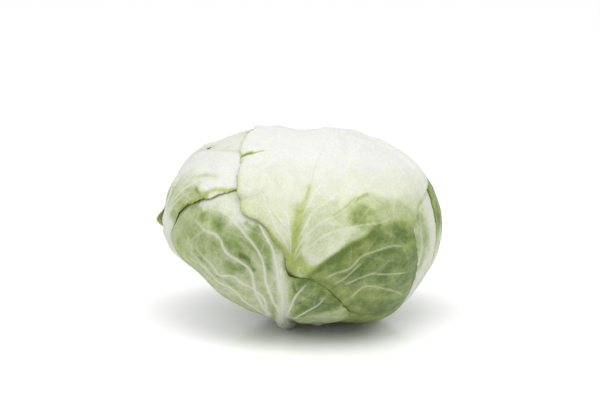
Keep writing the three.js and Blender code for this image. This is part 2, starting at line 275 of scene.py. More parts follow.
def curve(points):
    """Catmull-Rom through the points, as a function of the share of its length."""
    p = np.vstack([2 * points[0] - points[1], points, 2 * points[-1] - points[-2]])
    spans = len(points) - 1

    def at_parameter(t):
        t = np.clip(t, 0, 1) * spans
        i = np.minimum(t.astype(int), spans - 1)
        f = (t - i)[..., None]
        start, stop = 0.5 * (p[i + 2] - p[i]), 0.5 * (p[i + 3] - p[i + 1])
        return ((2 * f ** 3 - 3 * f ** 2 + 1) * p[i + 1] + (f ** 3 - 2 * f ** 2 + f) * start
                + (3 * f ** 2 - 2 * f ** 3) * p[i + 2] + (f ** 3 - f ** 2) * stop)

    steps = np.linspace(0, 1, 201)
    hops = np.linalg.norm(np.diff(at_parameter(steps), axis=0), axis=1)
    length = np.concatenate([[0], np.cumsum(hops)])
    return lambda share: at_parameter(np.interp(np.asarray(share) * length[-1], length, steps))


# %% [markdown]
# ## The eight wrapper leaves
# The innermost leaf comes first. Its lifts are places where the margin stands up a little: share along, side,
# two reaches and a height in millimetres.
# %% The eight wrapper leaves' lines, innermost first
LEAVES = [
    dict(name="back_leaf", seed=1.1,
         left=[[146, -76], [138, -50], [130, -20], [126, 10], [130, 36], [142, 54]],
         rib=[[172, -76], [172, -50], [172, -20], [172, 10], [173, 38], [176, 66]],
         right=[[200, -76], [208, -50], [214, -20], [218, 10], [216, 34], [206, 54]], lifts=[]),
    dict(name="right_leaf", seed=2.3,
         left=[[35, -76], [28, -50], [22, -25], [22, 0], [28, 20], [40, 38], [62, 52]],
         rib=[[60, -76], [60, -50], [63, -25], [69, -5], [75, 10], [80, 25], [90, 44]],
         right=[[90, -76], [100, -50], [108, -25], [112, -5], [116, 12], [120, 26], [124, 38]], lifts=[]),
    dict(name="lower_left_leaf", seed=3.7,
         left=[[-84, -76], [-90, -55], [-94, -35], [-96, -18], [-92, 2]],
         rib=[[-55, -76], [-57, -55], [-60, -35], [-64, -18], [-67, 2]],
         right=[[-28, -76], [-26, -55], [-26, -38], [-32, -20], [-42, -4]], lifts=[]),
    dict(name="front_left_leaf", seed=5.9,
         left=[[-50, -76], [-55, -60], [-48, -45], [-40, -33], [-45, -25], [-54, -18], [-63, -12], [-69, -4],
               [-69, 7], [-64, 18], [-54, 32]],
         rib=[[-20, -76], [-19, -58], [-13, -38], [-8, -20], [-8, -6], [-12, 8], [-19, 22], [-28, 36]],
         right=[[8, -76], [17, -62], [25, -48], [29, -38], [26, -30], [19, -22], [12, -15], [4, -11],
                [-3, -10.4], [-5.6, -8.4], [-6.9, -4], [-5, 1], [0, 6], [3, 14], [-2, 27], [-12, 40]],
         lifts=[(0.42, -1, 0.16, 0.35, 2)]),
    dict(name="back_right_leaf", seed=6.4,
         left=[[104, -76], [97, -50], [86, -25], [77, -5], [76, 8], [79, 20], [88, 34], [102, 46]],
         rib=[[128, -76], [126, -50], [122, -25], [120, 0], [118, 22], [119, 42], [126, 58]],
         right=[[155, -76], [160, -50], [162, -25], [162, 0], [160, 20], [156, 38], [152, 52]],
         lifts=[]),
    dict(name="left_leaf", seed=7.8,
         left=[[-118, -76], [-126, -50], [-130, -25], [-130, 0], [-124, 20], [-108, 35], [-88, 41],
               [-68, 46], [-50, 50], [-34, 51]],
         rib=[[-90, -76], [-85, -55], [-81, -30], [-78, -10], [-76, 6], [-70, 21], [-58, 33], [-40, 39],
              [-24, 41]],
         right=[[-62, -76], [-62, -55], [-64, -30], [-66, -12], [-67, -4], [-65, 5], [-59, 14], [-51, 19],
                [-45, 22], [-34, 27], [-20, 31]],
         lifts=[]),
    dict(name="back_left_leaf", seed=8.5,
         left=[[-168, -76], [-172, -50], [-176, -20], [-176, 8], [-174, 30], [-168, 48], [-154, 62]],
         rib=[[-140, -76], [-140, -50], [-138, -20], [-136, 8], [-133, 32], [-126, 52], [-112, 68]],
         right=[[-113, -76], [-106, -50], [-98, -24], [-92, 2], [-93, 10], [-98, 25], [-99, 42], [-90, 58]],
         lifts=[(0.58, 1, 0.023, 0.11, 4.6)]),
    dict(name="front_right_leaf", seed=9.6,
         left=[[4, -76], [1, -55], [-2, -35], [-3, -18], [-4.3, -9], [-5.8, -4], [-7, 1.5], [-9, 4], [-12, 7],
               [-16, 13], [-20, 15], [-26, 17], [-29, 22], [-32, 28], [-37, 35], [-41, 43], [-51, 50],
               [-66, 58], [-90, 66], [-130, 70], [-160, 66]],
         rib=[[22, -76], [15, -52], [7, -30], [2, -15], [-1, -4], [-1, 8], [1, 20], [5, 33], [12, 47],
              [28, 61], [75, 74], [150, 70]],
         right=[[52, -76], [62, -60], [66, -45], [66, -34], [63, -26], [60, -18], [57, -8], [54, -1],
                [53, 4], [55, 10], [62, 15], [72, 18], [84, 23], [98, 31], [112, 40], [128, 51]],
         lifts=[(0.6, -1, 0.1, 0.2, 1.2)]),
]
NAMES = [leaf["name"] for leaf in LEAVES]
for leaf in LEAVES:
    leaf["curves"] = [curve(direction(leaf[line])) for line in ("left", "rib", "right")]
print(len(LEAVES), "wrapper leaves")

# %% [markdown]
# ## A point on a leaf
# One share runs along the leaf from its foot to its end, the other across it from the left margin to the
# right. Slow waves cut into the end and the sides, because no real margin is an even curve.
# %% A leaf's directions from its two shares


def leaf_directions(leaf, along, across):
    """Blend of the midrib and a margin by |across|, with waves cut into the end and the sides."""
    seed = leaf["seed"]
    left, rib, right = leaf["curves"]

    def wobble(x):
        return 0.6 * np.sin(5 * x + seed) + 0.4 * np.sin(12 * x + 2.3 * seed)

    edge = smooth(0.5, 1, np.abs(across))
    u = along * (1 - 0.03 * (1 + wobble(across)) * smooth(0.6, 1, along))
    v = across * (1 + 0.035 * wobble(along + np.where(across > 0, 3, 0)) * edge * smooth(0, 0.2, along))
    margin = np.where((v < 0)[..., None], left(u), right(u))
    share = np.abs(v)[..., None]
    return unit(rib(u) * (1 - share) + margin * share)


# %% [markdown]
# ## How far a point is from a leaf's outline
# Which leaf covers which is a question of distance to each outline. Measuring it for hundreds of thousands
# of points would be slow, so each outline is laid flat round the leaf's middle once, on a chart with a
# value every 2 mm, and the chart is read for every point.
# %% Flat charts of signed distance
CHART_HALF = 268
CHART_STEP = 2


def chart_axes(middle):
    """East and north at a direction, at right angles to it."""
    east = unit(np.cross([0, 0, 1.0], middle))
    return east, np.cross(middle, east)


def flatten(d, middle):
    """Azimuthal chart: the heading from the middle is kept, and so is the distance, in mm on 82 mm."""
    east, north = chart_axes(middle)
    angle = np.arccos(np.clip(d @ middle, -1, 1))
    scale = CHART_RADIUS * angle / np.maximum(np.sin(angle), 1e-6)
    return np.stack([d @ east * scale, d @ north * scale], -1)


def polygon_distance(points, corners):
    """Signed distance to a closed outline in the plane, negative inside, one segment at a time."""
    nearest = np.full(points.shape[:-1], 1e9)
    inside = np.zeros(points.shape[:-1], bool)
    for a, b in zip(corners, np.roll(corners, -1, axis=0)):
        run = b - a
        t = np.clip((points - a) @ run / max(run @ run, 1e-9), 0, 1)
        off = points - a - t[..., None] * run
        nearest = np.minimum(nearest, off[..., 0] ** 2 + off[..., 1] ** 2)
        x_at = a[0] + (points[..., 1] - a[1]) / (run[1] or 1e-9) * run[0]
        inside ^= ((a[1] > points[..., 1]) != (b[1] > points[..., 1])) & (points[..., 0] < x_at)
    return np.where(inside, -1, 1) * np.sqrt(nearest)


def distance_chart(leaf):
    """The signed distance to the leaf's outline on a square grid round the leaf's middle."""
    t = np.arange(60) / 60
    rim = [(t, -1 + 0 * t), (1 + 0 * t, 2 * t - 1), (1 - t, 1 + 0 * t), (0 * t, 1 - 2 * t)]
    loop = np.concatenate([leaf_directions(leaf, along, across) for along, across in rim])
    middle = leaf_directions(leaf, np.array(0.5), np.array(0.0))
    side = np.arange(-CHART_HALF, CHART_HALF + 1, CHART_STEP)
    grid = np.stack(np.meshgrid(side, side, indexing="ij"), -1).astype(float)
    return middle, polygon_distance(grid, flatten(loop, middle))


def outline_distance(leaf, d):
    """Reads the chart between its four nearest values."""
    middle, chart = leaf["chart"]
    x = (flatten(d, middle) + CHART_HALF) / CHART_STEP
    i = np.clip(np.floor(x).astype(int), 0, chart.shape[0] - 2)
    f = x - i
    a, b = i[..., 0], i[..., 1]
    low = chart[a, b] * (1 - f[..., 1]) + chart[a, b + 1] * f[..., 1]
    high = chart[a + 1, b] * (1 - f[..., 1]) + chart[a + 1, b + 1] * f[..., 1]
    return low * (1 - f[..., 0]) + high * f[..., 0]


for leaf in LEAVES:
    leaf["chart"] = distance_chart(leaf)
print("charts", LEAVES[0]["chart"][1].shape)

# %% [markdown]
# ## Layers
# A leaf lies on the heart and on every leaf under it, a little more than a blade's thickness for each. Past
# the margin of what it covers it sinks back, as a real leaf drapes. The front right leaf is the one
# exception: it leaves the stalk beneath the front left leaf and comes out over it higher up.
# %% How high each leaf lies
BLADE = 1.4
PITCH = 2.4
HEART_GAP = 1.4
DRAPE = (2, 12)
TUCK = ("front_left_leaf", "front_right_leaf", math.sin(math.radians(-9.5)), math.sin(math.radians(-6)))


def lies_under(i, k, d):
    """1 where leaf i lies under leaf k, else 0, with the tucked pair turned round low down."""
    lower, upper = NAMES[min(i, k)], NAMES[max(i, k)]
    if (lower, upper) != TUCK[:2]:
        return 1.0 if i < k else 0.0
    tucked = 1 - smooth(TUCK[2], TUCK[3], d[..., 2])
    return 1 - tucked if i < k else tucked


def layers(index, d):
    """Height in mm of what the leaf lies on, and how far (0 to 1) nothing covers it."""
    stack = np.zeros(d.shape[:-1])
    bare = np.ones(d.shape[:-1])
    for k, other in enumerate(LEAVES):
        if k == index:
            continue
        distance = outline_distance(other, d)
        stack += PITCH * (1 - smooth(*DRAPE, distance)) * lies_under(k, index, d)
        over = lies_under(index, k, d)
        bare = np.minimum(bare, 1 - (1 - smooth(-1, 6, distance)) * over)
    return stack, bare


# %% [markdown]
# ## Veins
# A cabbage leaf has a thick pale midrib, strong side veins that fan out from its lower part, and ever finer
# branches between them. The strong ones on the side that the photograph shows are given as lines. The rest
# grow by rule: each line sends out branches at an angle, left and right in turn, which bend forward.
# %% Distance to lines on the ball, and branches


def smooth_line(angles):
    """A curve through points in azimuth and elevation, as 28 directions."""
    return unit(curve(direction(angles))(np.linspace(0, 1, 28)))


def near_lines(d, lines, width, reach, taper=0.0):
    """The greatest of exp(-(distance / width)^2) over all lines, with distances in mm on 85 mm.

    With taper above 0 a line narrows along its length and fades out over that last share of it.
    """
    strength = np.zeros(d.shape[:-1])
    for line in lines:
        middle = unit(line.mean(axis=0))
        spread = np.arccos(np.clip((line @ middle).min(), -1, 1)) + 2.2 * reach * width / PATTERN_RADIUS
        close = d @ middle > math.cos(min(spread, 3.1))
        if not close.any():
            continue
        p = d[close]
        best = np.full(len(p), 9.0)
        share = np.zeros(len(p))
        for number, (a, b) in enumerate(zip(line[:-1], line[1:])):
            run = b - a
            t = np.clip((p - a) @ run / (run @ run), 0, 1)
            far = np.linalg.norm(p - a - t[:, None] * run, axis=1)
            share = np.where(far < best, (number + t) / (len(line) - 1), share)
            best = np.minimum(best, far)
        narrowing = 1.2 - 0.6 * share if taper else 1.0
        value = np.exp(-(best * PATTERN_RADIUS / width / narrowing) ** 2)
        if taper:
            value *= smooth(0, taper / 4, share) * (1 - smooth(1 - taper, 1, share))
        strength[close] = np.maximum(strength[close], value)
    return strength


def branches(lines, spacing, length, spread, seed):
    """Side lines in turn left and right of each line, each bent forward over its own length."""
    rng = np.random.default_rng(seed)
    grown = []
    for line in lines:
        hops = np.linalg.norm(np.diff(line, axis=0), axis=1) * PATTERN_RADIUS
        total = hops.sum()
        for number, start in enumerate(np.arange(spacing * rng.uniform(0.3, 0.9), total * 0.96, spacing)):
            i = min(int(np.searchsorted(np.cumsum(hops), start)), len(hops) - 1)
            share = (start - hops[:i].sum()) / hops[i]
            p = unit(line[i] + (line[i + 1] - line[i]) * share)
            along = unit(line[i + 1] - line[i])
            side = np.cross(p, along) * (1 if number % 2 else -1)
            turn = math.radians(rng.uniform(0.8, 1.15) * spread)
            heading = along * math.cos(turn) + side * math.sin(turn)
            reach = length * rng.uniform(0.6, 1.2) * (1 - 0.45 * start / total)
            path = [p]
            for _ in range(6):
                p = unit(p + heading * reach / 6 / PATTERN_RADIUS)
                bend = along * 0.16 + np.cross(p, heading) * rng.normal() * 0.16
                heading = heading + bend
                heading = unit(heading - p * (heading @ p))
                path.append(p)
            grown.append(np.array(path))
    return grown


# %% [markdown]
# ## Colour areas
# The leaves are painted as a person would: pale everywhere, then greener areas with soft borders
# and coloured lines where a leaf folds or tears. Every point keeps four numbers that the material reads: how
# green it is, how yellow, how much it is rib, and how much painted shade it gets in a crevice or under
# an overlapping margin.
# %% Soft areas and lines


def area(d, corners, soft):
    """1 inside a closed outline, given in azimuth and elevation, fading over soft mm at its border."""
    loop = direction(corners)
    middle = unit(loop.mean(axis=0))
    mask = np.zeros(d.shape[:-1])
    close = d @ middle > 0.2
    distance = polygon_distance(flatten(d[close], middle), flatten(loop, middle))
    ragged = distance + waves(d[close], 14, 5) * soft * 0.2
    mask[close] = 1 - smooth(-soft * 0.6, soft, ragged)
    return mask


def paint(d, base, jobs):
    """Starts from base values of (green, yellow) and mixes in each job's own by its mask."""
    green = np.full(d.shape[:-1], base[0])
    yellow = np.full(d.shape[:-1], base[1])
    for kind, points, size, values, strength in jobs:
        if kind == "area":
            mask = area(d, points, size) * strength
        else:
            mask = near_lines(d, [smooth_line(points)], size, 2) * strength
        green += (values[0] - green) * mask
        yellow += (values[1] - yellow) * mask
    return green, yellow


# %% [markdown]
# ## Making a leaf
# A leaf is an outer and an inner surface with a rim between them. The outer one is a fine grid that carries
# the veins, the inner one has half as many rows and columns, and a zip of triangles joins the two.
# %% Meshes from arrays


def new_mesh(name, points, quads, triangles, attributes):
    """A smooth mesh from points in mm, with one value of each attribute for every point."""
    mesh = bpy.data.meshes.new(name)
    mesh.vertices.add(len(points))
    mesh.vertices.foreach_set("co", (points / 1000).astype(np.float32).ravel())
    corners = np.concatenate([quads.ravel(), triangles.ravel()]).astype(np.int32)
    starts = np.concatenate([np.arange(len(quads)) * 4, len(quads) * 4 + np.arange(len(triangles)) * 3])
    mesh.loops.add(len(corners))
    mesh.loops.foreach_set("vertex_index", corners)
    mesh.polygons.add(len(starts))
    mesh.polygons.foreach_set("loop_start", starts.astype(np.int32))
    mesh.update(calc_edges=True)
    mesh.shade_smooth()
    for key, values in attributes.items():
        mesh.attributes.new(key, "FLOAT", "POINT").data.foreach_set("value", values.astype(np.float32))
    return mesh


def border(rows, columns, first):
    """Indices round a grid's border, in the order that turns with the outer side."""
    grid = np.arange((rows + 1) * (columns + 1)).reshape(rows + 1, columns + 1) + first
    return np.concatenate([grid[0, :-1], grid[:-1, -1], grid[-1, :0:-1], grid[:0:-1, 0]])


def grid_quads(rows, columns, first, outward):
    """One quad for each cell of a grid, turned outward or inward."""
    grid = np.arange((rows + 1) * (columns + 1)).reshape(rows + 1, columns + 1) + first
    corners = [grid[:-1, :-1], grid[:-1, 1:], grid[1:, 1:], grid[1:, :-1]]
    quads = np.stack(corners if outward else corners[::-1], -1)
    return quads.reshape(-1, 4)


def shell_faces(rows, columns):
    """Outer grid, inner grid of half the rows and columns, and the zip of triangles between them."""
    first = (rows + 1) * (columns + 1)
    half = (rows // 2, columns // 2)
    quads = np.concatenate([grid_quads(rows, columns, 0, True), grid_quads(*half, first, False)])
    outer = border(rows, columns, 0)
    inner = border(*half, first)
    a, b, c = outer[0::2], outer[1::2], np.roll(outer, -2)[0::2]
    i, j = inner, np.roll(inner, -1)
    zip_faces = np.concatenate([np.stack(t, -1) for t in ((a, i, b), (b, i, j), (b, j, c))])
    return quads, zip_faces


def lathe_faces(rings, around):
    """Quads between neighbouring rings of points, and a fan of triangles to one last point at each end."""
    ring = np.arange(around)
    after = np.roll(ring, -1)
    rows = np.arange(rings - 1)[:, None] * around
    quads = np.stack([rows + ring, rows + after, rows + after + around, rows + ring + around], -1)
    low, high, last = rings * around, rings * around + 1, (rings - 1) * around
    fans = np.concatenate([np.stack([ring * 0 + low, after, ring], -1),
                           np.stack([ring * 0 + high, ring + last, after + last], -1)])
    return quads.reshape(-1, 4), fans


def place_piece(mesh, replaced, material):
    """Puts a finished mesh on the fixed body, in place of its plain solid."""
    piece = bpy.data.objects.new(mesh.name, mesh)
    bpy.context.collection.objects.link(piece)
    mesh.materials.append(material)
    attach(piece, "root")
    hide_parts(replaced)


# %% [markdown]
# ## What stands up from a leaf
# The midrib is a thick, fluted band that thins out towards the end. Margins lift in a few places and press
# down everywhere else, and the front right leaf stands up along a crease where it folded.
# %% Midrib, crease, margins and lifts
LEAF_THICKNESS = 1.0
SWELL_MM = 0.5
PRESS_MM = 1.1
FLUTE_MM = 2.4
CREASE_END_MM = 14


def line_distance(d, line):
    """Distance in mm, on 82 mm, to the nearest of a line's segments."""
    best = np.full(d.shape[:-1], 9.0)
    for a, b in zip(line[:-1], line[1:]):
        run = b - a
        t = np.clip((d - a) @ run / (run @ run), 0, 1)
        best = np.minimum(best, np.linalg.norm(d - a - t[..., None] * run, axis=-1))
    return best * CHART_RADIUS


def midrib_height(along, far, base):
    """Flat-topped rib: base mm high at the stalk and 0.4 at the end, 6 mm to 1 mm to each side, fluted."""
    height = 0.4 + (base - 0.4) * (1 - smooth(0, 0.55, along)) ** 1.4
    width = 1.1 + 4.9 * (1 - smooth(0.05, 0.62, along))
    flutes = 1 + 0.07 * np.cos(2 * np.pi * far / FLUTE_MM)
    return height * np.exp(-(far / width) ** 3) * flutes


def crease_height(d, line, mm, width, drop):
    """Stands up by mm on the upper left of a line over width mm, and falls over drop mm on its other side."""
    points = direction(line)
    best = np.full(d.shape[:-1], 99.0)
    above = np.zeros(d.shape[:-1], bool)
    for a, b in zip(points[:-1], points[1:]):
        run = b - a
        t = np.clip((d - a) @ run / (run @ run), 0, 1)
        far = np.linalg.norm(d - a - t[..., None] * run, axis=-1) * CHART_RADIUS
        closer = far < best
        best = np.where(closer, far, best)
        above = np.where(closer, d @ np.cross(b, a) < 0, above)
    from_end = np.linalg.norm(d - points[-1], axis=-1) * CHART_RADIUS
    fade = 1 - np.exp(-(from_end / CREASE_END_MM) ** 2)
    return mm * np.exp(-(best / np.where(above, width, drop)) ** 2) * fade


def torn_directions(leaf, along, across, seed):
    """The leaf's directions with noise along its margins, and each point's distance from the margin."""
    d = leaf_directions(leaf, along, across)
    edge = np.maximum(-outline_distance(leaf, d), 0)
    ragged = waves(d, 9, seed) * 0.45 + waves(d, 3.5, seed + 1) * 0.3
    sideways, forward = unit(np.gradient(d, axis=1)), unit(np.gradient(d, axis=0))
    push = sideways * (np.sign(across) * smooth(0.3, 0.9, np.abs(across)))[..., None]
    push = push + forward * smooth(0.85, 1, along)[..., None]
    shift = ragged * np.exp(-edge / 3) / PATTERN_RADIUS * smooth(0, 0.1, along)
    return unit(d + push * shift[..., None]), edge


def standing_height(leaf, d, along, across, edge, lifts, crease, ruffle_mm):
    """Height in mm of the margins' ruffle, the leaf's own lifts, the local lifts and the crease."""
    ruffle = ruffle_mm * (0.5 + 0.5 * np.sin(22 * along + 3 * leaf["seed"] + across))
    stand = ruffle * smooth(0.75, 1, np.abs(across)) * smooth(0.1, 0.3, along)
    for u, v, du, dv, mm in leaf["lifts"]:
        stand += mm * np.exp(-((along - u) / du) ** 2 - ((across - v) / dv) ** 2)
    for place, reach, mm, width in lifts:
        far = np.arccos(np.clip(d @ direction(place), -1, 1)) * PATTERN_RADIUS
        stand += mm * np.exp(-(far / reach) ** 2) * np.exp(-(edge / width) ** 2)
    if crease:
        stand += crease_height(d, *crease)
    return stand


# %% [markdown]
# ## Veins on a leaf, and its paint
# Three orders of veins and a net stand up a little, and the tissue between them swells like pillows. Next to
# a vein the leaf is paler, and along its margin it is greener and more yellow.
# %% Veins and paint
BRANCHES = dict(spacing=13, length=34, spread=48)
TWIGS = dict(spacing=8, length=13, spread=52)
BRANCH_MM, TWIG_MM, NET_MM, FIELD_MM = 0.6, 0.45, 0.75, 6.5
VEIN_TAPER, BRANCH_TAPER = 0.3, 0.5
GREEN_MARGIN = 0.15
YELLOW_MARGIN = 0.55


def vein_masks(d, mains, seed, vein_mm):
    """How much of each order of veins, of the net and of the paler band round them is at each point."""
    veins = [smooth_line(line) for line in mains]
    second = branches(veins, seed=seed, **BRANCHES)
    third = branches(second, seed=seed + 2, **TWIGS)
    walls = cell_walls(d, FIELD_MM, seed)
    return dict(
        first=near_lines(d, veins, vein_mm, 3, VEIN_TAPER),
        second=near_lines(d, second, BRANCH_MM, 3, BRANCH_TAPER),
        third=near_lines(d, third, TWIG_MM, 3),
        walls=walls,
        net=np.exp(-(walls / NET_MM) ** 2),
        wide_first=near_lines(d, veins, vein_mm * 2.2, 3, VEIN_TAPER),
        wide_second=near_lines(d, second, 1.3, 3))


def leaf_relief(d, veins, vein_mm, inner_part, grooves, seed):
    """Veins, net and pillows in mm, fading out at the margin, with the grooves cut in."""
    ridges = np.maximum.reduce([veins["first"] * vein_mm * 0.6, veins["second"] * 0.34,
                                veins["third"] * 0.2, veins["net"] * 0.12])
    unevenness = waves(d, 26, seed + 3) * 0.2 + waves(d, 11, seed + 4) * 0.09
    pillow = smooth(0, 3, veins["walls"]) * 0.22 + unevenness
    relief = (ridges + pillow * 0.9) * inner_part
    for line, width, depth in grooves:
        relief -= depth * near_lines(d, [smooth_line(line)], width, 2)
    return relief


def leaf_fields(d, edge, veins, midrib_share, inner_part, painted_shade_lines, base, jobs, fine, vein_white, seed):
    """The four numbers that the leaf material reads at each point."""
    green, yellow = paint(d, base, jobs)
    halo = np.maximum.reduce([veins["wide_first"] * 0.16, veins["wide_second"] * 0.08 * fine,
                              veins["third"] * 0.05 * fine, veins["net"] * 0.04])
    green = green * (1 - halo) + GREEN_MARGIN * np.exp(-(edge / 2.2) ** 2)
    green += (waves(d, 14, seed + 6) * 0.1 + waves(d, 5, seed + 7) * 0.06) * green * fine
    yellow = yellow + YELLOW_MARGIN * np.exp(-(edge / 1.3) ** 2)
    rib = np.maximum.reduce([veins["first"] * vein_white, veins["second"] * 0.28 * fine,
                             veins["third"] * 0.1 * fine, smooth(0.2, 0.5, midrib_share) * 0.8])
    # Painted shade: dark lines drawn along crevices and the gaps under overlapping margins, where shadow
    # falls.
    painted_shade = np.zeros(d.shape[:-1])
    for line, width, strength in painted_shade_lines:
        painted_shade = np.maximum(painted_shade, strength * near_lines(d, [smooth_line(line)], width, 2))
    return {"green": green, "yellow": yellow, "rib": rib * inner_part, "painted_shade": painted_shade}


# %% [markdown]
# ## The leaf itself
# The steps above are put together: directions, layers, veins, height of both surfaces, paint and mesh.
# %% One wrapper leaf


def make_leaf(name, rows, columns, rib_base, material, mains, paint_base, paint_jobs, lifts,
              crease=None, grooves=(), painted_shade_lines=(), vein_mm=1.3, ruffle_mm=0.5, fine=1.0,
              vein_white=0.66):
    """Builds one wrapper leaf in place of its plain solid."""
    index = NAMES.index(name)
    leaf = LEAVES[index]
    seed = int(leaf["seed"] * 10)
    along = np.linspace(0, 1, rows + 1)[:, None] + np.zeros((1, columns + 1))
    side = np.linspace(-1, 1, columns + 1)[None, :] + np.zeros((rows + 1, 1))
    across = np.sign(side) * np.abs(side) ** 1.15
    d, edge = torn_directions(leaf, along, across, seed)
    stack, bare = layers(index, d)
    inner_part = smooth(0.5, 5, edge)
    veins = vein_masks(d, mains, seed, vein_mm)
    relief = leaf_relief(d, veins, vein_mm, inner_part, grooves, seed)
    from_rib = line_distance(d, unit(leaf["curves"][1](np.linspace(0, 1, 40))))
    midrib = midrib_height(along, from_rib, rib_base)
    stand = standing_height(leaf, d, along, across, edge, lifts, crease, ruffle_mm) * smooth(0, 0.6, bare)
    stand -= PRESS_MM * np.exp(-(edge / 5) ** 2)

    swell = waves(d, 60, 77) * SWELL_MM * smooth(-0.9, -0.6, d[..., 2])
    under = head_radius(d) - HEART_INSET + HEART_GAP + stack + stand + swell
    rounding = 0.3 * np.exp(-(edge / 0.7) ** 2)
    outer = under + BLADE + midrib * bare + relief * (0.25 + 0.75 * bare) - rounding
    outer_points = d * outer[..., None] + [0, 0, CENTRE_HEIGHT]
    outer_points[..., 2] = np.maximum(outer_points[..., 2], 0.0)
    thickness = LEAF_THICKNESS - 0.3 * np.exp(-(edge / 4) ** 2) - rounding * 0.6
    inner = (under + BLADE - thickness)[::2, ::2]
    inner_points = d[::2, ::2] * inner[..., None] + [0, 0, CENTRE_HEIGHT]
    inner_points[..., 2] = np.maximum(inner_points[..., 2], 0.3)

    fields = leaf_fields(d, edge, veins, midrib / rib_base, inner_part, painted_shade_lines, paint_base,
                         paint_jobs, fine, vein_white, seed)
    attributes = {key: np.concatenate([f.ravel(), f[::2, ::2].ravel()]) for key, f in fields.items()}
    attributes["painted_shade"][edge.size:] = 0
    points = np.concatenate([outer_points.reshape(-1, 3), inner_points.reshape(-1, 3)])
    quads, zip_faces = shell_faces(rows, columns)
    mesh = new_mesh(name + "_fine", points, quads, zip_faces, attributes)
    place_piece(mesh, name, material)
    print(name, len(quads) * 2 + len(zip_faces), "triangles")


# %% [markdown]
# ## Cabbage leaf tissue
# Living leaf under a thin film of wax: satin rather than glossy, a little translucent, and never one even
# green. The colour runs from nearly white where leaves were shut away from the light to deep green where
# they were out in it. The finest net of veins is about 3 mm wide, and it is pressed in as bump as well.
# %% Leaf material
PALE_TO_DEEP = [(0.0, "#d5d6d4"), (0.22, "#c4c9b2"), (0.45, "#a5af87"), (0.7, "#829358"), (1.0, "#566c2f")]
YELLOW_TO_OLIVE = [(0.0, "#cdcfa3"), (0.45, "#9daa57"), (1.0, "#596d26")]


def ramp(tree, value, stops):
    """A colour ramp with the given places and hex colours."""
    made = add(tree, "ShaderNodeValToRGB", {}, {"Fac": value})
    points = made.color_ramp.elements
    while len(points) < len(stops):
        points.new(0.5)
    for point, (place, colour) in zip(points, stops):
        point.position = place
        point.color = linear(colour)
    return made.outputs["Color"]


def leaf_material(name, net_mm, mottle, translucency):
    """Green and yellow from the leaf's own values, paler along ribs and net lines, with painted shade in
    crevices.
    """
    material, tree, output = new_material(name)
    value = {key: add(tree, "ShaderNodeAttribute", {"attribute_name": key}, {}).outputs["Fac"]
             for key in ("green", "yellow", "rib", "painted_shade")}
    place = add(tree, "ShaderNodeTexCoord", {}, {}).outputs["Object"]
    blotch = add(tree, "ShaderNodeTexNoise", {}, {"Vector": place, "Scale": 1 / 0.006, "Detail": 4.0})
    warp = add(tree, "ShaderNodeMix", {"data_type": "VECTOR"}, {
        0: 0.0015, 4: place, 5: blotch.outputs["Color"]})
    net = add(tree, "ShaderNodeTexVoronoi", {"feature": "DISTANCE_TO_EDGE"}, {
        "Vector": warp.outputs[1], "Scale": 1000 / net_mm})
    line = add(tree, "ShaderNodeMapRange", {"interpolation_type": "SMOOTHSTEP"}, {
        "Value": net.outputs["Distance"], "From Min": 0.0, "From Max": 0.16, "To Min": 1.0, "To Max": 0.0})
    uneven = add(tree, "ShaderNodeMapRange", {}, {
        "Value": blotch.outputs["Fac"], "From Min": 0.3, "From Max": 0.7, "To Min": 1 - mottle,
        "To Max": 1 + mottle})
    mottled = add(tree, "ShaderNodeMath", {"operation": "MULTIPLY"}, {
        0: value["green"], 1: uneven.outputs[0]})
    netted = add(tree, "ShaderNodeMath", {"operation": "MULTIPLY_ADD"}, {
        0: line.outputs[0], 1: -0.07, 2: mottled.outputs[0]})
    leafy = ramp(tree, netted.outputs[0], PALE_TO_DEEP)
    olive = ramp(tree, netted.outputs[0], YELLOW_TO_OLIVE)
    coloured = add(tree, "ShaderNodeMix", {"data_type": "RGBA"}, {0: value["yellow"], 6: leafy, 7: olive})
    ribbed = add(tree, "ShaderNodeMix", {"data_type": "RGBA"}, {
        0: value["rib"], 6: coloured.outputs[2], 7: linear("#d0d2c6")})
    shaded = add(tree, "ShaderNodeMix", {"data_type": "RGBA"}, {
        # Painted shade: this dark olive stands in for the shadow in crevices and under overlapping margins.
        0: value["painted_shade"], 6: ribbed.outputs[2], 7: linear("#36421c")})
    height = add(tree, "ShaderNodeMath", {"operation": "MULTIPLY_ADD"}, {
        0: blotch.outputs["Fac"], 1: 0.5, 2: line.outputs[0]})
    bump = add(tree, "ShaderNodeBump", {}, {
        "Height": height.outputs[0], "Strength": 0.35, "Distance": 0.0003})
    shader = add(tree, "ShaderNodeBsdfPrincipled", {}, {
        "Base Color": shaded.outputs[2], "Roughness": 0.46, "IOR": 1.42, "Normal": bump.outputs[0],
        "Subsurface Weight": translucency, "Subsurface Radius": (0.9, 1.0, 0.4), "Subsurface Scale": 0.003})
    tree.links.new(shader.outputs[0], output.inputs["Surface"])
    return material


PALE = leaf_material("pale_leaf_tissue", 3.4, 0.14, 0.15)
LIGHT = leaf_material("light_leaf_tissue", 3.2, 0.16, 0.45)
GREEN = leaf_material("green_leaf_tissue", 3.0, 0.14, 0.1)
print("leaf materials", PALE.name, LIGHT.name, GREEN.name)

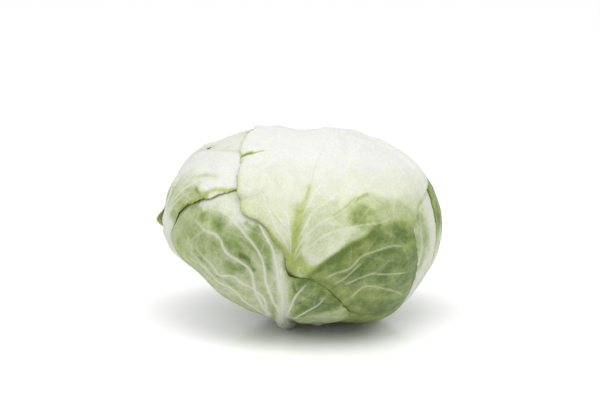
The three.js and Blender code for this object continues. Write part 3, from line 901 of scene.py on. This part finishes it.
# %% [markdown]
# ## Front left leaf
# The leaf that shows most of its ribs: a thick midrib ends in a rounded knuckle at the table, and strong
# side veins fan out to the left, with green fields between them.
# %% Front left leaf
make_leaf(
    "front_left_leaf", 248, 196, 6.2, GREEN,
    mains=[
        [[-16, -55], [-10, -31], [-9, -22], [-9, -13], [-8, -6], [-8, 0]],
        [[-10, -20], [-10, -8], [-11, -2], [-12, 3], [-15, 8], [-18, 13], [-20, 15], [-24, 22]],
        [[-13, -40], [-15, -22], [-16, -13], [-16, -6], [-17, -1], [-20, 4], [-23, 7], [-26, 10], [-30, 13],
         [-34, 16], [-39, 18], [-44, 22]],
        [[-20, -45], [-22, -23], [-22, -14], [-22, -9], [-24, -6], [-28, -3], [-32, -1], [-34, 2], [-36, 6],
         [-39, 7], [-44, 8], [-47, 10], [-51, 11], [-56, 15]],
        [[-24, -55], [-23, -43], [-19, -26], [-22, -19], [-25, -17], [-28, -15], [-30, -12], [-34, -11],
         [-38, -12], [-39, -8], [-41, -5], [-44, -3], [-46, -1], [-51, 1], [-56, 2]],
        [[-24, -50], [-26, -35], [-30, -26], [-32, -20], [-36, -17], [-41, -16], [-43, -11], [-46, -7],
         [-48, -4], [-54, -2]],
        [[-10, -48], [-8, -38], [-3, -23], [0, -17], [4, -12], [6, -10]],
        [[-10, -55], [-6, -45], [3, -34], [9, -27], [12, -21], [15, -18]],
    ],
    paint_base=(0.52, 0.12),
    paint_jobs=[
        ("area", [[-40, 14], [-36, 16], [-30, 10], [-25, 6], [-23, 2], [-24, -1], [-29, -1], [-32, 3],
                  [-37, 8]], 5, (0.78, 0.05), 0.9),
        ("area", [[-59, 8], [-46, 9], [-38, 5], [-34, 0], [-37, -5], [-45, 0], [-53, 3]], 5,
         (0.68, 0.1), 0.8),
        ("area", [[-34, -6], [-28, -6], [-24, -5], [-26, -8], [-32, -10]], 3, (0.85, 0.2), 0.8),
        ("area", [[-23, 12], [-18, 12], [-15, 5], [-12, -2], [-14, -9], [-18, -2], [-20, 4]], 4,
         (0.78, 0.05), 0.8),
        ("area", [[-49, 18], [-45, 24], [-31, 26], [-27, 19], [-21, 16], [-23, 12], [-31, 13], [-40, 18],
                  [-46, 16]], 6, (0.14, 0.0), 0.85),
        ("area", [[-48, 15], [-44, 15], [-43, 12], [-45, 11], [-48, 12]], 2, (0.8, 0.5), 0.8),
        ("area", [[-64, 1], [-58, 1], [-55, -3], [-52, -8], [-59, -9], [-65, -5]], 4, (0.55, 0.6), 0.8),
        ("area", [[-44, -8], [-32, -15], [-21, -20], [-15, -28], [-24, -38], [-34, -25], [-47, -22]], 6,
         (0.42, 0.15), 0.7),
        ("area", [[-3, -12], [5, -12], [13, -17], [20, -24], [16, -32], [0, -39], [-6, -34]], 4,
         (1.0, 0.3), 0.9),
        ("line", [[-26, -1], [-23, -3], [-22, -6], [-21, -8]], 1.6, (1.1, 0.2), 0.9),
        ("line", [[-16, -60], [-11, -40], [-9, -24], [-9, -10], [-8, -2]], 6, (0.2, 0.1), 0.8),
        ("line", [[-24, -50], [-17, -36], [-13, -24], [-12, -14]], 1.3, (0.62, 0.3), 0.6),
        ("line", [[-8, -50], [-4, -38], [-4, -26], [-5, -16]], 1.3, (0.66, 0.3), 0.7),
        ("line", [[-14, -6], [-14, 0], [-17, 6], [-20, 10], [-24, 13]], 1.6, (0.8, 0.1), 0.6),
        ("line", [[-27, -9], [-31, -6], [-35, -3], [-38, 3], [-43, 5], [-50, 7]], 1.6, (0.8, 0.1), 0.6),
        ("line", [[-31, -18], [-36, -13], [-40, -12], [-43, -6], [-48, -2]], 1.6, (0.75, 0.15), 0.6),
    ],
    # Painted shade along the dark gaps under the left leaf's margin and under the front right leaf's left
    # margin.
    painted_shade_lines=[([[-62, 12], [-59, 15], [-57, 16], [-50, 19.5], [-44, 23]], 0.9, 0.5),
              ([[-20, 14], [-15, 12], [-12, 7], [-9, 3]], 0.8, 0.25)],
    vein_mm=0.85,
    vein_white=0.85,
    fine=0.7,
    ruffle_mm=0.3,
    lifts=[([8, -12], 16, -0.5, 4), ([-45, -25], 12, 1.5, 5)],
    grooves=[([[-26, -1], [-23, -3], [-22, -6], [-21, -8]], 1.2, 0.8),
             ([[-58, 15], [-54, 16], [-49, 16]], 1.6, 1.5)])

# %% [markdown]
# ## Front right leaf
# The outermost leaf covers the top, the middle and the right. It is nearly white at the crown, has an olive
# line along its midrib, and folds over itself in a crease, below which it is deep green.
# %% Front right leaf
make_leaf(
    "front_right_leaf", 300, 252, 2.5, PALE,
    mains=[
        [[2, 26], [5, 33], [12, 47]],
        [[10, -11], [16, -8], [21, -6], [26, -1], [33, 1], [39, 2], [46, 1], [52, 1]],
        [[15, -14], [19, -11], [23, -7], [26, -4], [29, -3]],
        [[19, -14], [26, -11], [32, -9], [37, -10], [48, -11], [56, -11]],
        [[24, -22], [29, -16], [35, -16], [50, -21], [60, -26]],
        [[-3, -3], [0, 2], [4, 4], [8, 7], [12, 9], [19, 11], [27, 12], [37, 12], [48, 15]],
        [[-3, -2], [-1, 4], [3, 9], [9, 14], [17, 17], [24, 21], [30, 25], [37, 26], [47, 24], [60, 22]],
        [[-2, 6], [2, 12], [6, 19], [14, 24], [25, 30], [41, 35], [59, 35], [80, 34]],
        [[0, 15], [4, 22], [9, 29], [19, 38], [36, 46], [60, 50]],
        [[-4, -1], [-4, 6], [-5, 13], [-6, 20], [-7, 28], [-8, 39], [-6, 53]],
        [[-4, 0], [-6, 6], [-10, 11], [-13, 17], [-17, 23], [-21, 32], [-24, 42]],
    ],
    paint_base=(0.06, 0.04),
    paint_jobs=[
        ("area", [[-34, 34], [-10, 40], [20, 38], [50, 32], [80, 24], [60, 8], [20, 0], [-8, 0],
                  [-28, 20]], 16, (0.19, 0.22), 0.75),
        ("area", [[-30, 24], [-18, 24], [-11, 14], [-6, 3], [-2, -2], [-3, -8], [-7, -2], [-13, 8],
                  [-22, 16], [-27, 19]], 6, (0.32, 0.3), 0.85),
        ("area", [[-24, 24], [-4, 25], [0, 10], [-3, 0], [-8, 2], [-14, 12]], 12, (0.24, 0.24), 0.8),
        ("area", [[0, 22], [19, 24], [20, 14], [17, 4], [7, -2], [0, 7]], 7, (0.36, 0.2), 0.85),
        ("area", [[17, 16], [21, 20], [29, 24], [37, 24], [41, 21], [37, 15], [31, 19], [22, 16]], 4,
         (0.46, 0.3), 0.8),
        ("area", [[44, 21], [58, 20], [72, 14], [74, 9], [60, 10], [50, 13], [43, 16]], 5, (0.35, 0.05), 0.8),
        ("area", [[22, 10], [29, 11], [35, 11], [28, 7], [22, 4], [18, 4]], 3, (0.5, 0.15), 0.8),
        ("area", [[24, 18], [31, 19], [34, 17], [35, 12], [29, 11], [22, 12]], 4, (0.85, 0.5), 0.9),
        ("area", [[-7, 4], [-2, 5], [2, -2], [8, -5], [2, -10], [-4, -6]], 5, (0.58, 0.7), 0.9),
        ("area", [[0, -60], [2, -11], [6, -6], [11, -2], [17, 2], [22, 5], [28, 7], [34, 10], [38, 12],
                  [47, 12], [56, 9], [57, 1], [57, -8], [62, -17], [66, -34], [64, -56]], 2.5,
         (0.86, 0.62), 0.95),
        ("area", [[28, 9], [33, 17], [41, 19], [50, 18], [56, 13], [55, 8], [46, 11], [36, 8]], 4,
         (0.52, 0.3), 0.85),
        ("area", [[33, 8], [39, 11], [51, 7], [54, 2], [42, 2], [33, 3]], 3, (0.98, 0.05), 0.8),
        ("area", [[31, 0], [42, 1], [54, -2], [57, -8], [46, -8], [37, -5]], 4, (1.0, 0.2), 0.8),
        ("area", [[21, -4], [31, -2], [44, -9], [57, -12], [57, -20], [42, -18], [28, -13], [18, -12]], 5,
         (0.98, 0.2), 0.7),
        ("area", [[9, -5], [16, 0], [22, 3], [25, 2], [21, -3], [17, -7], [13, -8]], 4, (0.92, 0.7), 0.85),
        ("area", [[31, -25], [43, -25], [58, -27], [56, -33], [40, -33]], 5, (1.05, 0.15), 0.8),
        # Darkest olive line along the crease: painted shade under the fold.
        ("line", [[4, -9], [9, -5], [16, 0], [22, 4], [29, 7], [35, 11]], 2.2, (1.1, 0.65), 0.95),
        ("line", [[15, -16], [20, -10], [26, -6], [31, -1], [38, 0]], 1.8, (1.1, 0.3), 0.8),
        ("line", [[-4, -9], [-3, -2], [-2, 4], [-2, 9], [-1, 14], [0, 19]], 3.4, (0.6, 1.0), 0.85),
        ("line", [[0, 17], [2, 23], [4, 28], [5, 32]], 2.0, (0.4, 0.9), 0.7),
        ("line", [[-14, 10], [-10, 6], [-7, 2], [-5, -3], [-3, -9]], 1.8, (0.55, 0.95), 0.85),
        ("line", [[-3, -10], [2, -12], [8, -14], [15, -18], [22, -24]], 1.4, (0.8, 0.8), 0.7),
        ("line", [[16, 17], [20, 19], [25, 22], [30, 24], [34, 25]], 1.4, (0.6, 0.7), 0.8),
        ("line", [[-44, 45], [-41, 47], [-38, 48.4]], 1.5, (0.85, 0.95), 0.95),
        ("line", [[-38, 48], [-36, 49], [-31, 52]], 0.9, (0.6, 0.9), 0.8),
        ("line", [[-36, 32], [-35, 30], [-33, 27]], 2.4, (0.5, 0.9), 0.85),
    ],
    vein_mm=0.5,
    vein_white=0.45,
    fine=0.4,
    ruffle_mm=0.3,
    lifts=[([-23, 17], 7, 1.0, 4), ([-12, 8], 8, -0.5, 5), ([-6, -3], 7, -0.8, 5), ([-33, 28], 6, 0.6, 4),
           ([40, -33], 16, 1.0, 6)],
    crease=([[2, -10], [12, -4], [20, 2], [30, 6], [37, 11]], 1.6, 11, 1.8),
    # Painted shade along the dark gap at this leaf's lower margin.
    painted_shade_lines=[([[23, -34], [28, -32], [37, -34], [46, -33], [54, -31]], 1.6, 0.45)],
    grooves=[([[-44, 45], [-41, 47], [-36, 49], [-31, 52]], 1.0, 0.6),
             ([[15, -16], [20, -10], [26, -6], [31, -1]], 1.4, 0.5)])

# %% [markdown]
# ## Left leaf
# Pale and almost white, it laps over the front left leaf, and a dark gap shows under its edge. Only its
# lower corner has greened.
# %% Left leaf
make_leaf(
    "left_leaf", 240, 190, 5.2, PALE,
    mains=[
        [[-90, -66], [-85, -50], [-81, -30], [-78, -10], [-76, 6], [-70, 21], [-58, 33], [-40, 39]],
        [[-82, -35], [-74, -18], [-70, 0], [-67, 12], [-60, 20], [-52, 23]],
        [[-79, -12], [-72, 6], [-66, 18], [-56, 27], [-42, 32]],
        [[-84, -45], [-96, -20], [-102, 2], [-98, 20], [-86, 33]],
        [[-86, -50], [-104, -32], [-114, -12], [-116, 8]],
        [[-77, 4], [-80, 20], [-78, 32], [-66, 42]],
    ],
    paint_base=(0.07, 0.02),
    paint_jobs=[
        ("area", [[-86, 18], [-70, 24], [-53, 23], [-48, 21], [-55, 17], [-60, 13], [-65, 7], [-74, 10]], 5,
         (0.62, 0.2), 0.85),
        ("line", [[-61, 28], [-56, 30], [-47, 31]], 2.0, (0.4, 0.3), 0.7),
        ("line", [[-63, 7], [-60, 11], [-59, 15], [-55, 17], [-50, 20], [-47, 23], [-44, 25], [-39, 26],
                  [-33, 27]], 1.6, (0.5, 0.95), 0.85),
        ("area", [[-80, 8], [-70, 10], [-66, 4], [-66, -12], [-78, -10]], 6, (0.16, 0.0), 0.8),
        ("area", [[-80, 26], [-66, 29], [-56, 27], [-60, 20], [-76, 16]], 6, (0.32, 0.1), 0.7),
        ("line", [[-55, 23], [-52, 22], [-50, 21]], 1.2, (0.8, 0.5), 0.6),
        ("line", [[-78, 12], [-80, 14]], 3, (0.5, 0.8), 0.8),
    ],
    ruffle_mm=0.2,
    lifts=[([-60, 14], 8, 0.4, 5), ([-66, 8], 8, -0.8, 5), ([-52, 19], 8, 1.3, 5),
           ([-43, 24], 7, 0.7, 4), ([-67, 0], 9, -1.3, 6),
           ([-67, -10], 10, -1.0, 6), ([-66, -22], 14, -0.9, 5), ([-64, -40], 14, -0.9, 5)],
    grooves=[([[-55, 23], [-52, 22], [-50, 21]], 1.0, 0.5)])

# %% [markdown]
# ## The other wrapper leaves
# Five leaves close the ring round the back and sides. They have the same build, with their own ribs and
# greens: greener low down and at the margins, which stood out in the light.
# %% Right leaf and lower left leaf
make_leaf(
    "right_leaf", 196, 148, 5.2, PALE,
    mains=[
        [[64, -60], [68, -40], [76, -21], [71, -12], [71, -6], [71, -1], [71, 4], [72, 12], [78, 24]],
        [[62, -45], [60, -20], [60, 0], [62, 16]],
        [[66, -50], [86, -28], [90, -8], [94, 8]],
    ],
    paint_base=(0.2, 0.05),
    vein_white=0.5,
    paint_jobs=[
        ("area", [[54, 14], [66, 12], [67, 4], [67, -5], [64, -12], [54, -8]], 4, (0.62, 0.05), 0.85),
        ("area", [[67, -13], [73, -12], [80, -20], [74, -28]], 4, (0.3, 0.0), 0.7),
        ("area", [[36, -76], [90, -76], [96, -50], [60, -45]], 8, (0.5, 0.2), 0.7),
    ],
    lifts=[])
make_leaf(
    "lower_left_leaf", 100, 90, 4.0, LIGHT,
    mains=[[[-50, -60], [-52, -45], [-50, -30], [-52, -20]], [[-60, -60], [-70, -40], [-76, -22]]],
    paint_base=(0.3, 0.1),
    paint_jobs=[("area", [[-60, -70], [-40, -60], [-45, -50], [-70, -55]], 6, (0.5, 0.2), 0.7)],
    lifts=[])

# %% [markdown]
# ## The three leaves at the back
# These aren't seen in the photograph. They follow the same plan, with a midrib, four or five strong side
# veins, and a pale end where the leaf lay shut over the crown.
# %% Back right, back and back left leaves
make_leaf(
    "back_right_leaf", 220, 172, 5.2, GREEN,
    mains=[
        [[128, -66], [126, -50], [122, -25], [120, 0], [118, 22], [119, 42]],
        [[126, -50], [112, -30], [102, -8], [96, 14], [98, 30]],
        [[124, -40], [136, -18], [144, 4], [146, 24]],
        [[122, -20], [110, 2], [106, 22], [108, 38]],
        [[121, -10], [130, 12], [134, 32], [134, 44]],
        [[127, -56], [146, -38], [154, -18], [157, 0]],
    ],
    paint_base=(0.62, 0.1),
    paint_jobs=[
        ("area", [[76, 22], [92, 24], [92, 4], [88, 0], [76, -1]], 4, (0.85, 0.6), 0.85),
        ("area", [[70, -5], [80, -4], [87, -20], [97, -44], [86, -52], [74, -24]], 12, (0.1, 0.0), 0.9),
        ("area", [[100, 40], [150, 50], [140, 28], [112, 26]], 10, (0.25, 0.1), 0.8),
        ("area", [[104, -76], [155, -76], [150, -50], [106, -50]], 8, (0.45, 0.3), 0.7),
    ],
    ruffle_mm=0.2,
    lifts=[([110, 44], 14, 2.0, 5), ([77, 3], 8, -1.2, 6), ([78, 13], 8, -0.8, 6),
           ([77, -5], 9, -1.0, 6), ([82, -16], 10, -1.0, 6), ([88, -30], 12, -1.0, 6)])
make_leaf(
    "back_leaf", 190, 150, 5.2, LIGHT,
    mains=[
        [[172, -66], [172, -50], [172, -20], [172, 10], [173, 38], [176, 60]],
        [[172, -45], [160, -24], [152, 0], [150, 24]],
        [[172, -45], [186, -24], [196, 0], [200, 24]],
        [[172, -15], [162, 8], [158, 30], [162, 46]],
        [[172, -15], [184, 8], [190, 30], [188, 46]],
    ],
    paint_base=(0.34, 0.06),
    paint_jobs=[
        ("area", [[150, 60], [190, 70], [200, 50], [150, 40]], 10, (0.12, 0.05), 0.8),
        ("area", [[146, -76], [200, -76], [200, -50], [146, -50]], 8, (0.5, 0.25), 0.7),
    ],
    lifts=[([176, 64], 12, 1.5, 5)])
make_leaf(
    "back_left_leaf", 230, 176, 5.2, LIGHT,
    mains=[
        [[-140, -66], [-140, -50], [-138, -20], [-136, 8], [-133, 32], [-126, 52]],
        [[-140, -50], [-122, -28], [-110, -6], [-104, 16], [-106, 34]],
        [[-139, -40], [-154, -18], [-164, 6], [-164, 28]],
        [[-138, -18], [-124, 6], [-117, 26], [-112, 44]],
        [[-137, -8], [-148, 16], [-152, 38], [-146, 54]],
        [[-140, -58], [-160, -42], [-170, -20], [-172, 0]],
    ],
    paint_base=(0.45, 0.06),
    paint_jobs=[
        ("area", [[-160, 52], [-120, 66], [-94, 56], [-104, 40], [-140, 40]], 10, (0.14, 0.05), 0.8),
        ("area", [[-112, 26], [-94, 20], [-94, 44], [-88, 62], [-112, 62]], 6, (0.12, 0.05), 0.9),
        # Pale yellow on the flared tip: partly the tip's own yellow and partly painted light where light
        # shines through it.
        ("line", [[-92, -6], [-91, 4], [-94, 14]], 9, (0.0, 0.8), 1.0),
        ("area", [[-168, -76], [-113, -76], [-110, -50], [-170, -50]], 8, (0.5, 0.3), 0.7),
    ],
    ruffle_mm=0.2,
    lifts=[([-98, 22], 9, -1.5, 7), ([-99, 34], 11, -1.6, 7), ([-98, 43], 8, -3.0, 8),
           ([-92, 56], 11, -1.8, 7)])

# %% [markdown]
# ## Heart
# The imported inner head, hidden but for a pale patch at the upper left and behind the crown, where the edges
# of the inner leaves show. It is a closed ball of the same directions, kept flat where the stalk joins.
# %% Heart
HEART_ROUND, HEART_UPRIGHT = 240, 150
HEART_VEINS = [
    [[-70, 30], [-66, 48], [-50, 66], [10, 80]], [[-110, 30], [-104, 50], [-90, 70], [-20, 84]],
    [[-140, 50], [-130, 68], [-90, 82]], [[160, 50], [140, 66], [100, 80]],
    [[120, 40], [110, 60], [80, 76]]]
PATCH_PLACE, PATCH_MM, PATCH_REACH = [-93, 48], 1.6, 10
FOLDS = [([205, 14], 1.5), ([75, 4], 1.3), ([-60, -8], 1.3)]


def fold_height(d):
    """Each inner leaf's edge stands a little higher on the side that it faces, near the crown only."""
    crown = smooth(0.35, 0.7, d[..., 2])
    total = np.zeros(d.shape[:-1])
    for facing, mm in FOLDS:
        wander = 5 * np.sin(4 * d[..., 0] + 3 * d[..., 1] + facing[0])
        side = CHART_RADIUS * np.arcsin(np.clip(d @ direction(facing), -1, 1)) + wander
        total += mm * crown * smooth(-1.5, 1.5, side)
    return total


upright = np.linspace(-90, 90, HEART_UPRIGHT + 1)[1:-1]
around = np.arange(HEART_ROUND) * 360 / HEART_ROUND
angles = np.stack(np.meshgrid(around, upright), -1)
d = np.concatenate([direction(angles).reshape(-1, 3), [[0, 0, -1.0], [0, 0, 1.0]]])
clear = np.full(len(d), 1.0)
for leaf in LEAVES:
    clear = np.minimum(clear, smooth(8, 20, outline_distance(leaf, d)))
veins = [smooth_line(line) for line in HEART_VEINS]
side_veins = branches(veins, 11, 26, 50, 90)
rib = np.maximum(near_lines(d, veins, 1.4, 3), near_lines(d, side_veins, 0.8, 3) * 0.6)
swell = waves(d, 60, 77) * SWELL_MM * smooth(-0.9, -0.6, d[:, 2])
from_patch = np.arccos(np.clip(d @ direction(PATCH_PLACE), -1, 1)) * PATTERN_RADIUS
patch = PATCH_MM * np.exp(-(from_patch / PATCH_REACH) ** 2)
folds = (fold_height(d) + rib * 0.5 * smooth(0.1, 0.4, d[:, 2])) * clear
radius = head_radius(d) - HEART_INSET + patch + folds + swell
points = d * radius[:, None] + [0, 0, CENTRE_HEIGHT]
points[:, 2] = np.maximum(points[:, 2], HEART_FLOOR)
quads, fans = lathe_faces(HEART_UPRIGHT - 1, HEART_ROUND)
heart_mesh = new_mesh("inner_head_fine", points, quads, fans, {
    "green": 0.14 + waves(d, 20, 91) * 0.05 - rib * 0.1, "yellow": np.full(len(d), 0.05), "rib": rib * 0.5,
    "painted_shade": np.zeros(len(d))})
place_piece(heart_mesh, "inner_head", PALE)
print("heart", len(quads) * 2 + len(fans), "triangles")

# %% [markdown]
# ## Stalk
# The stalk was cut with a knife: a pale, moist disc of pith with a ring of denser fibres near its rim, and a
# short green neck that the leaves grow from. It stands on its flat cut face.
# %% Stalk
STALK_ROUND = 96
STALK_HEIGHT = 8.6
profile = np.array([[0, 0], [4, 0], [8, 0], [11, 0], [12.5, 0], [13.3, 0.25], [13.9, 0.8], [14, 1.6],
                    [13.8, 3.5], [13.4, 6], [13, STALK_HEIGHT], [8, STALK_HEIGHT], [0, STALK_HEIGHT]])
turn = np.arange(STALK_ROUND) * 2 * np.pi / STALK_ROUND
ribbing = 1 + 0.012 * np.sin(11 * turn) * np.cos(4 * turn)
rings = []
for across_mm, up_mm in profile[1:-1]:
    wall = ribbing if up_mm > 0.1 and across_mm > 12 else 1 + 0 * turn
    reach = across_mm * wall
    rings.append(np.stack([reach * np.cos(turn), reach * np.sin(turn), 0 * turn + up_mm], -1))
points = np.concatenate([*rings, [[0, 0, 0], [0, 0, STALK_HEIGHT]]])
quads, fans = lathe_faces(len(rings), STALK_ROUND)
stalk_mesh = new_mesh("stalk_fine", points, quads, fans, {})
print("stalk", len(quads) * 2 + len(fans), "triangles")

# %% [markdown]
# ## Cut pith
# Pith dries a little where it was cut. It is palest in the middle, has a darker ring of fibres near the rim
# and a green skin, so the colour follows the distance from the stalk's middle.
# %% Cut pith material
pith, tree, output = new_material("cut_pith")
place = add(tree, "ShaderNodeTexCoord", {}, {}).outputs["Object"]
split = add(tree, "ShaderNodeSeparateXYZ", {}, {0: place})
flat = add(tree, "ShaderNodeCombineXYZ", {}, {0: split.outputs[0], 1: split.outputs[1]})
radius_node = add(tree, "ShaderNodeVectorMath", {"operation": "LENGTH"}, {0: flat.outputs[0]})
fibres = add(tree, "ShaderNodeTexNoise", {}, {"Vector": place, "Scale": 1 / 0.0012, "Detail": 3.0})
wander = add(tree, "ShaderNodeMath", {"operation": "MULTIPLY_ADD"}, {
    0: fibres.outputs["Fac"], 1: 0.0018, 2: radius_node.outputs["Value"]})
rings_node = add(tree, "ShaderNodeMapRange", {}, {
    "Value": wander.outputs[0], "From Min": 0.0, "From Max": 0.0155})
colour = ramp(tree, rings_node.outputs[0], [
    (0.0, "#e9e6cf"), (0.55, "#e2dfc2"), (0.68, "#c9c79a"), (0.76, "#e4e2c4"), (1.0, "#b9c489")])
bump = add(tree, "ShaderNodeBump", {}, {"Height": fibres.outputs["Fac"], "Strength": 0.5, "Distance": 0.0004})
shader = add(tree, "ShaderNodeBsdfPrincipled", {}, {
    "Base Color": colour, "Roughness": 0.5, "IOR": 1.4, "Normal": bump.outputs[0]})
tree.links.new(shader.outputs[0], output.inputs["Surface"])
place_piece(stalk_mesh, "stalk", pith)
print("pith on the stalk")
